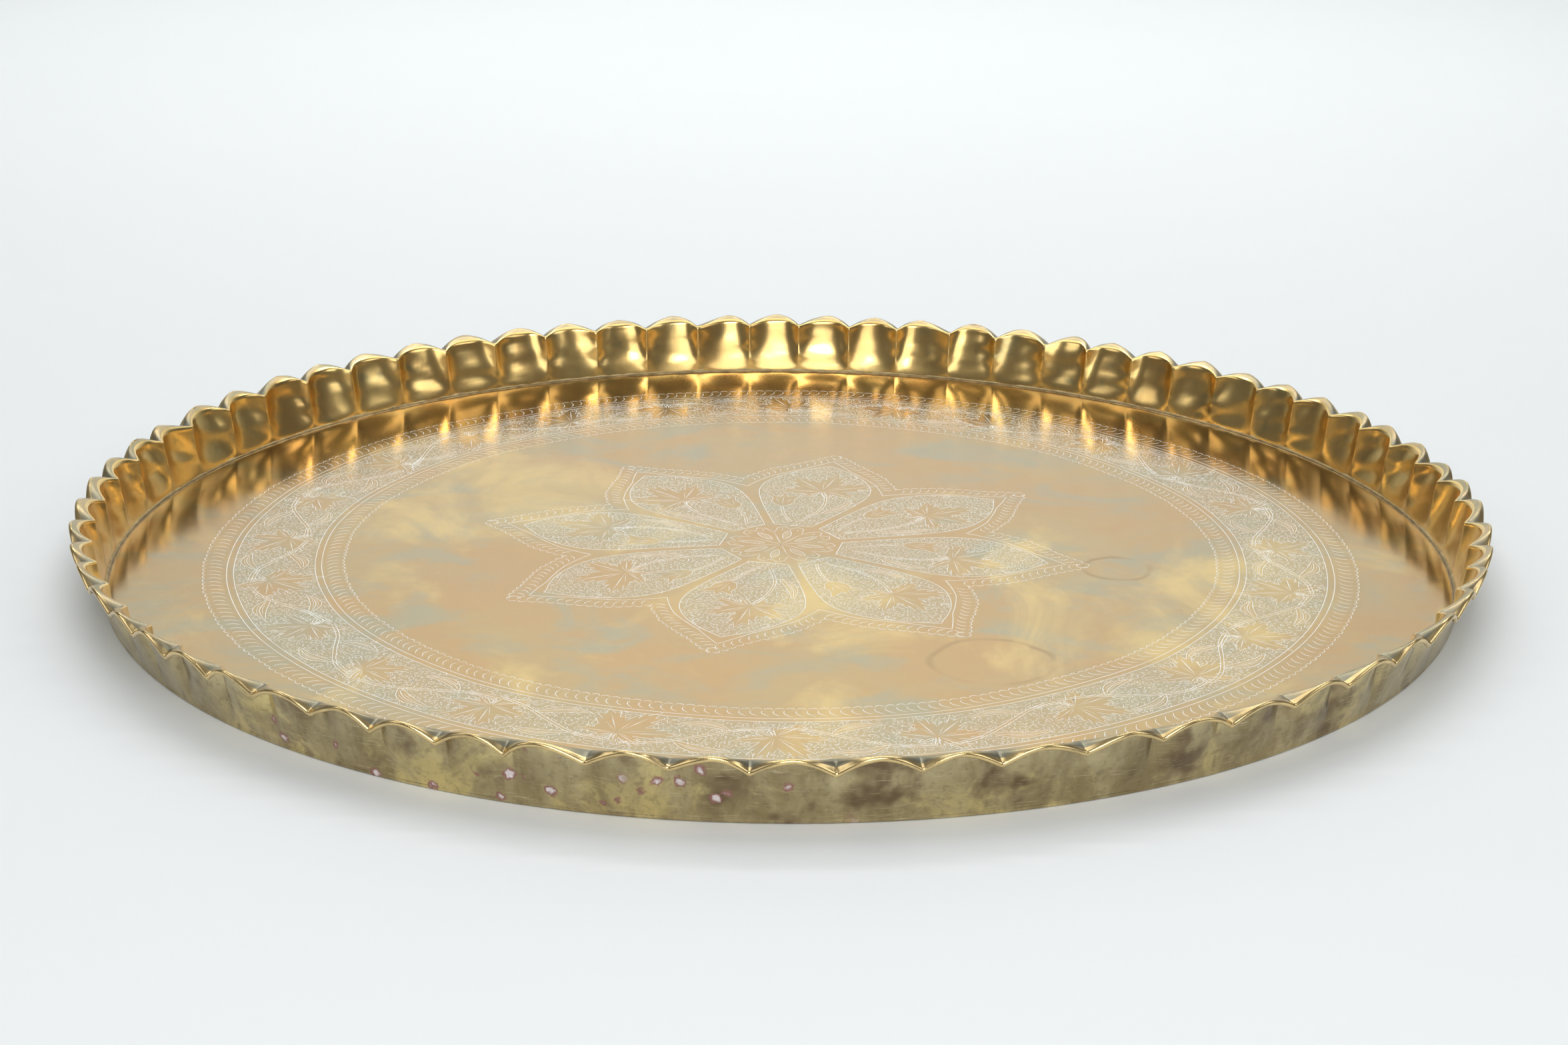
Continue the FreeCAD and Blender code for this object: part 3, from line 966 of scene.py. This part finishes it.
def inner_brass():
    """Polished golden brass of the wall's inner side."""
    s = Shader("gallery_inner_brass", 1.0, 0.2)
    clouds = s.noise(28.0, 4.0, 0.6, (1, 1, 0.6), 0.5)
    colour = s.mix(s.steps(clouds, 0.35, 0.7), (0.86, 0.62, 0.24), (0.74, 0.49, 0.18))
    colour = s.mix(s.steps(s.noise(70.0, 3.0), 0.55, 0.75), colour, (0.62, 0.49, 0.22))
    s.set("Base Color", colour)
    s.set("Roughness", s.scaled(s.noise(60.0, 4.0), 0.17, 0.27))
    s.bump(s.noise(220.0, 3.0, 0.5, (1, 1, 0.4)), 0.05 * MM, 0.35)
    return s.material


def outer_brass():
    """Dull olive-brown tarnish with scratches, streaks and pale corrosion spots."""
    s = Shader("gallery_outer_brass", 1.0, 0.42)
    streaks = s.noise(60.0, 4.0, 0.6, (1, 1, 0.25), 0.4)
    patches = s.noise(24.0, 5.0, 0.65, distortion=0.6)
    scratches = s.noise(160.0, 4.0, 0.7, (0.5, 0.5, 14.0), 0.3)
    colour = s.mix(s.steps(streaks, 0.35, 0.65), (0.36, 0.285, 0.15), (0.54, 0.45, 0.26))
    colour = s.mix(s.steps(patches, 0.50, 0.66), colour, (0.72, 0.59, 0.28))
    specks = s.steps(s.noise(260.0, 4.0, 0.7), 0.50, 0.66)
    colour = s.mix(s.calc("MULTIPLY", specks, 0.4), colour, (0.24, 0.19, 0.11))
    colour = s.mix(s.steps(s.noise(38.0, 3.0), 0.54, 0.70), colour, (0.22, 0.155, 0.09))
    colour = s.mix(s.steps(scratches, 0.58, 0.70), colour, (0.72, 0.62, 0.40))
    rough = s.scaled(s.noise(45.0, 5.0), 0.16, 0.34)
    ragged = s.calc("ADD", s.cells(75.0), s.scaled(s.noise(420.0, 3.0), -0.16, 0.16))
    spotted = s.calc("MULTIPLY", s.steps(s.noise(26.0, 3.0), 0.40, 0.46),
                     s.steps(s.axis("X"), 0.05, 0.0))
    spotted = s.calc("MULTIPLY", spotted, s.steps(s.axis("X"), -0.27, -0.22))
    spotted = s.calc("MULTIPLY", spotted, s.steps(s.axis("Y"), -0.20, -0.24))
    halo = s.calc("MULTIPLY", s.steps(ragged, 0.27, 0.17), spotted)
    grainy = s.calc("MULTIPLY", spotted, s.scaled(s.noise(700.0, 2.0), 0.35, 1.3))
    core = s.calc("MULTIPLY", s.steps(ragged, 0.19, 0.09), grainy)
    colour = s.mix(halo, colour, (0.40, 0.20, 0.17))
    colour = s.mix(core, colour, (0.86, 0.80, 0.80))
    s.set("Base Color", colour)
    s.set("Roughness", s.calc("ADD", rough, s.calc("MULTIPLY", halo, 0.3)))
    s.set("Metallic", s.scaled(core, 1.0, 0.1))
    s.bump(s.noise(420.0, 4.0, 0.6, (1, 1, 1)), 0.05 * MM, 0.25)
    return s.material


def edge_brass():
    """Worn brass of the rolled edge."""
    s = Shader("gallery_edge_brass", 1.0, 0.25)
    worn = s.noise(90.0, 4.0, 0.6)
    colour = s.mix(s.steps(worn, 0.35, 0.7), (0.80, 0.60, 0.28), (0.58, 0.44, 0.22))
    s.set("Base Color", colour)
    s.set("Roughness", s.scaled(worn, 0.18, 0.34))
    s.bump(s.noise(500.0, 3.0), 0.03 * MM, 0.3)
    return s.material


def flange_brass():
    """Duller brass on top of the flange, painted darker than the wall's brass as shade, with dark
    grey-green painted shade where it dips to a notch.
    """
    s = Shader("gallery_flange_brass", 1.0, 0.35)
    worn = s.noise(50.0, 4.0, 0.6)
    # painted shade: brass colours darker than the wall's stand for the darker light on the flange
    colour = s.mix(s.steps(worn, 0.35, 0.65), (0.54, 0.41, 0.22), (0.38, 0.33, 0.20))
    # painted shade, deepest where the flange dips to a notch
    low = s.steps(s.axis("Z"), HEIGHT - 2.5 * MM, HEIGHT - 6.5 * MM)
    colour = s.mix(s.calc("MULTIPLY", low, 0.8), colour, (0.22, 0.22, 0.17))
    s.set("Base Color", colour)
    s.set("Roughness", s.scaled(worn, 0.28, 0.46))
    return s.material


def cove_shade_brass():
    """The bend round the floor, painted dark brown as the shade in the corner of floor and wall."""
    s = Shader("cove_shade_brass", 1.0, 0.4)
    mottle = s.noise(150.0, 4.0, 0.6)
    # painted shade: both colours are dark browns standing for the shade in the cove
    s.set("Base Color", s.mix(s.steps(mottle, 0.3, 0.7), (0.20, 0.145, 0.07), (0.40, 0.29, 0.14)))
    s.set("Roughness", s.scaled(mottle, 0.25, 0.5))
    return s.material


def solder_metal():
    """Soft solder gone brown to pale gold with brass dust."""
    s = Shader("soft_solder", 0.7, 0.45)
    lumps = s.noise(180.0, 4.0, 0.6)
    s.set("Base Color", s.mix(s.steps(lumps, 0.3, 0.7), (0.34, 0.26, 0.13), (0.60, 0.48, 0.25)))
    s.set("Roughness", s.scaled(lumps, 0.3, 0.5))
    s.bump(lumps, 0.15 * MM, 0.5)
    return s.material


def wire_brass():
    """Drawn wire, hidden in the roll."""
    s = Shader("wire_brass", 1.0, 0.3)
    s.set("Base Color", s.mix(s.noise(300.0), (0.75, 0.55, 0.25), (0.6, 0.44, 0.2)))
    return s.material


def underside_brass():
    """The unpolished underside."""
    s = Shader("underside_brass", 1.0, 0.4)
    clouds = s.noise(10.0, 6.0, 0.65, distortion=0.5)
    s.set("Base Color", s.mix(s.steps(clouds, 0.3, 0.7), (0.42, 0.34, 0.19), (0.56, 0.43, 0.23)))
    s.set("Roughness", s.scaled(s.noise(40.0, 4.0), 0.3, 0.5))
    return s.material


# ---------------------------------------------------------------------- build

FLOOR = floor_brass("floor_brass", 0.13, 0.21)
FLOOR_EDGE = floor_brass("floor_edge_brass", 0.11, 0.18)
make_gallery(inner_brass(), outer_brass(), edge_brass(), flange_brass())
make_rim_wire(wire_brass())
make_floor_edge(cove_shade_brass(), underside_brass())
make_solder(solder_metal())

middle = floor_ring("floor_rosette", np.linspace(0.5 * MM, 0.48 * FOOT, 116), 800, FLOOR)
floor_ring("floor_field", np.linspace(0.48 * FOOT, 0.65 * FOOT, 20), 800, FLOOR)
border = floor_ring("floor_border", np.linspace(0.65 * FOOT, 0.87 * FOOT, 56), 1200, FLOOR)
floor_ring("floor_outer", np.linspace(0.87 * FOOT, COVE_START, 24), 1200, FLOOR_EDGE)
RESIDUE = polish_residue()
engrave_rings().make("engraved_rings", RESIDUE)
band = engrave_band()
band.strokes.make("engraved_leaf_band", RESIDUE)
rosette, cells = engrave_rosette()
rosette.strokes.make("engraved_rosette", RESIDUE)
mark_ground(border, band, lambda spots: np.abs(np.hypot(*spots.T) - sum(BAND) / 2)
            < (BAND[1] - BAND[0]) / 2)
mark_ground(middle, rosette, lambda spots: np.any([inside(spots, cell) for cell in cells], axis=0))


# --------------------------------------------------------------------- studio

TABLE_DEPTH = 2.6                            # from the tray's middle to where the table sweeps up
SWEEP = 0.5


def flat_stage():
    """Pale table top that runs back into a pale wall."""
    mesh = bpy.data.meshes.new("table")
    outline = [(-6.0, 0.0), (TABLE_DEPTH, 0.0)]
    for degrees in range(10, 91, 10):
        a = math.radians(degrees)
        outline.append((TABLE_DEPTH + SWEEP * math.sin(a), SWEEP * (1 - math.cos(a))))
    outline.append((TABLE_DEPTH + SWEEP, 4.0))
    verts = [(x, y, z - 0.00002) for y, z in outline for x in (-6.0, 6.0)]
    faces = [(2 * k, 2 * k + 1, 2 * k + 3, 2 * k + 2) for k in range(len(outline) - 1)]
    mesh.from_pydata(verts, [], faces)
    mesh.polygons.foreach_set("use_smooth", [True] * len(faces))
    s = Shader("pale_table", 0.0, 0.55)
    s.set("Base Color", s.mix(s.noise(3.0), (0.79, 0.82, 0.825), (0.81, 0.84, 0.845)))
    s.set("Specular IOR Level", 0.3)
    mesh.materials.append(s.material)
    table = bpy.data.objects.new("table", mesh)
    table.rotation_euler = (0, 0, TURN)
    bpy.context.scene.collection.objects.link(table)


LAMPS = (                                    # name, place, aim, size in metres, watts
    ("ceiling", (0.0, 0.45, 2.3), (0, 0.2, 0), (2.4, 1.5), 16.5),
    ("backdrop_light", (0.0, 1.7, 2.4), (0, 2.6, 0.5), (3.4, 0.6), 51),
    ("side_left", (-2.0, -0.6, 1.5), (0, 0, 0), (1.4, 1.1), 7),
    ("side_right", (2.1, -0.5, 1.4), (0, 0, 0), (1.4, 1.1), 9),
    ("front", (0.15, -2.5, 0.85), (0, 0, 0.05), (1.7, 0.9), 9),
    ("front_fill", (0.1, -1.8, 1.45), (0, -0.3, 0), (1.6, 0.5), 20),
    ("front_high", (-0.7, -1.0, 2.0), (0, 0, 0), (0.3, 0.3), 1.2),
)


def lamp(name, place, target, size, power):
    """A soft box that faces target."""
    light = bpy.data.lights.new(name, "AREA")
    light.shape = "RECTANGLE"
    light.size, light.size_y = size
    light.energy = power
    holder = bpy.data.objects.new(name, light)
    holder.location = place
    holder.visible_camera = False
    holder.rotation_euler = (Vector(target) - Vector(place)).to_track_quat("-Z", "Y").to_euler()
    bpy.context.scene.collection.objects.link(holder)


def make_studio():
    flat_stage()
    for lamp_values in LAMPS:
        lamp(*lamp_values)
    world = bpy.data.worlds.new("studio")
    bpy.context.scene.world = world
    world.use_nodes = True
    world.node_tree.nodes["Background"].inputs["Color"].default_value = (0.98, 0.98, 1.0, 1)
    world.node_tree.nodes["Background"].inputs["Strength"].default_value = 0.13


def make_camera():
    """Standing a little over a metre back, looking down at eighteen degrees."""
    distance, height = 3.8043 * FOOT, 1.2925 * FOOT + 5 * MM
    pitch, roll, yaw = 0.3223, 0.0082, 0.0011
    data = bpy.data.cameras.new("camera")
    data.sensor_width = 36
    data.lens = 60.6
    data.clip_start = 0.01
    camera = bpy.data.objects.new("camera", data)
    forward = Vector((math.sin(yaw) * math.cos(pitch), math.cos(yaw) * math.cos(pitch),
                      -math.sin(pitch)))
    right = forward.cross(Vector((0, 0, 1))).normalized()
    up = right.cross(forward)
    right, up = (right * math.cos(roll) + up * math.sin(roll),
                 up * math.cos(roll) - right * math.sin(roll))
    turn = Matrix.Rotation(TURN, 4, "Z")
    pose = Matrix((right, up, -forward)).transposed().to_4x4()
    pose.translation = (0, -distance, height)
    camera.matrix_world = turn @ pose
    bpy.context.scene.collection.objects.link(camera)
    bpy.context.scene.camera = camera


make_studio()
make_camera()
bpy.context.scene.view_settings.view_transform = "Standard"
